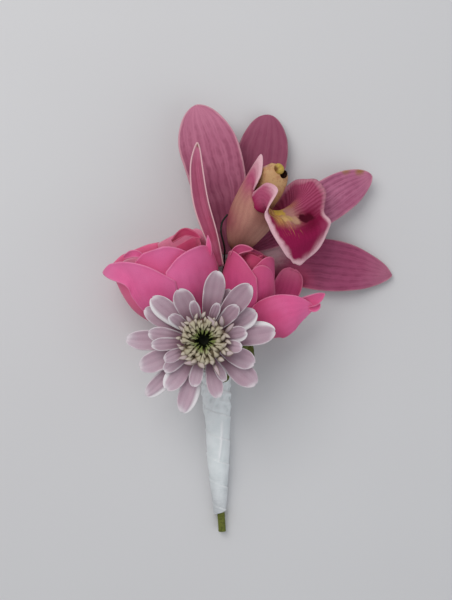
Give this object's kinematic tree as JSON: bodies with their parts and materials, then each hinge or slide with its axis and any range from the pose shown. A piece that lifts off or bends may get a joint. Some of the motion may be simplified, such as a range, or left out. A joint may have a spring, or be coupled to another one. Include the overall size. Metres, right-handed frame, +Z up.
{
  "type": "boutonniere",
  "caption": "Buttonhole of a cymbidium orchid, spray roses and a chrysanthemum, their stems bound in white floral tape; it lies flat on its back.",
  "frame": {"origin": "middle of the bunch in plan, on the surface that it lies on", "axes": "+Z up, away from the surface; +Y from the stems towards the flowers; +X to the right, the side of the orchid's lip"},
  "size_m": [0.0952, 0.1422, 0.0374],
  "materials": {
    "orchid_petal": "waxy, finely veined",
    "orchid_lip": "waxy, cream to deep magenta",
    "orchid_column": "waxy",
    "anther_yellow": "waxy",
    "orchid_stalk": "matte",
    "wire_green": "dark paper-covered wire",
    "rose_petal": "velvety",
    "rose_green": "matte",
    "ray_lilac": "velvety",
    "disc_cream": "matte",
    "stem_green": "matte",
    "floral_tape": "waxed crepe paper"
  },
  "bodies": {
    "root": {"chrysanthemum_inner_florets": "disc_cream", "chrysanthemum_ray_01": "ray_lilac", "chrysanthemum_ray_02": "ray_lilac", "chrysanthemum_ray_03": "ray_lilac", "chrysanthemum_ray_04": "ray_lilac", "chrysanthemum_ray_05": "ray_lilac", "chrysanthemum_ray_06": "ray_lilac", "chrysanthemum_ray_07": "ray_lilac", "chrysanthemum_ray_08": "ray_lilac", "chrysanthemum_ray_09": "ray_lilac", "chrysanthemum_ray_10": "ray_lilac", "chrysanthemum_ray_11": "ray_lilac", "chrysanthemum_ray_12": "ray_lilac", "chrysanthemum_ray_13": "ray_lilac", "chrysanthemum_ray_14": "ray_lilac", "chrysanthemum_ray_15": "ray_lilac", "chrysanthemum_ray_16": "ray_lilac", "chrysanthemum_ray_17": "ray_lilac", "chrysanthemum_ray_18": "ray_lilac", "chrysanthemum_ray_19": "ray_lilac", "chrysanthemum_ray_20": "ray_lilac", "chrysanthemum_ray_21": "ray_lilac", "chrysanthemum_ray_22": "ray_lilac", "chrysanthemum_ray_23": "ray_lilac", "chrysanthemum_ray_24": "ray_lilac", "chrysanthemum_ray_25": "ray_lilac", "chrysanthemum_ray_26": "ray_lilac", "chrysanthemum_ray_27": "ray_lilac", "chrysanthemum_ray_28": "ray_lilac", "chrysanthemum_stem": "stem_green", "florist_wire": "wire_green", "orchid_anther_cap": "anther_yellow", "orchid_column": "orchid_column", "orchid_dorsal_sepal": "orchid_petal", "orchid_left_petal": "orchid_petal", "orchid_left_sepal": "orchid_petal", "orchid_lip": "orchid_lip", "orchid_right_petal": "orchid_petal", "orchid_right_sepal": "orchid_petal", "orchid_stem": "orchid_stalk", "rose_left_inner_petals": "rose_petal", "rose_left_petal_inner_left": "rose_petal", "rose_left_petal_inner_near": "rose_petal", "rose_left_petal_inner_right": "rose_petal", "rose_left_petal_near_left": "rose_petal", "rose_left_petal_near_right": "rose_petal", "rose_left_petal_under_left": "rose_petal", "rose_left_petal_under_right": "rose_petal", "rose_left_stem": "rose_green", "rose_right_inner_petals": "rose_petal", "rose_right_petal_back": "rose_petal", "rose_right_petal_far_right": "rose_petal", "rose_right_petal_near_left": "rose_petal", "rose_right_petal_near_right": "rose_petal", "rose_right_petal_open": "rose_petal", "rose_right_petal_right": "rose_petal", "rose_right_petal_under": "rose_petal", "rose_right_stem": "rose_green", "tape_wrap": "floral_tape"}
  },
  "joints": []
}
